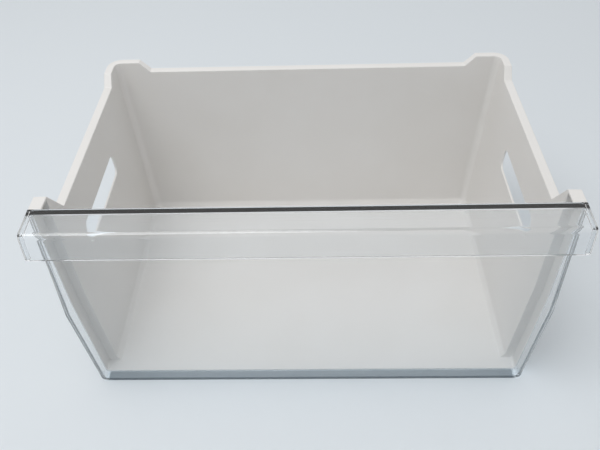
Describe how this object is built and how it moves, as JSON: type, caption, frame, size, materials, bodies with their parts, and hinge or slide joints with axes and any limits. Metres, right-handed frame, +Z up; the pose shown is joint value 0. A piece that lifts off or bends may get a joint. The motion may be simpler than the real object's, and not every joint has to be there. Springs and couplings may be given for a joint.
{
  "type": "refrigerator drawer",
  "caption": "Open-topped fridge drawer: a white moulded tub with a stepped rim and side slots, closed at the front by a clear panel whose folded lip is the handle.",
  "frame": {"origin": "bottom centre of the bounding box, on the surface that the drawer stands on", "axes": "+X to the right seen from the front, along the longest side; -Y towards the clear front and its handle lip; +Z up, out of the open top"},
  "size_m": [0.46, 0.308, 0.2285],
  "materials": {
    "white_plastic": "satin moulded polystyrene, warm white",
    "clear_plastic": "polished clear polystyrene, dark at its edges"
  },
  "bodies": {
    "root": {"drawer_body": "white_plastic", "front_panel": "clear_plastic"}
  },
  "joints": []
}
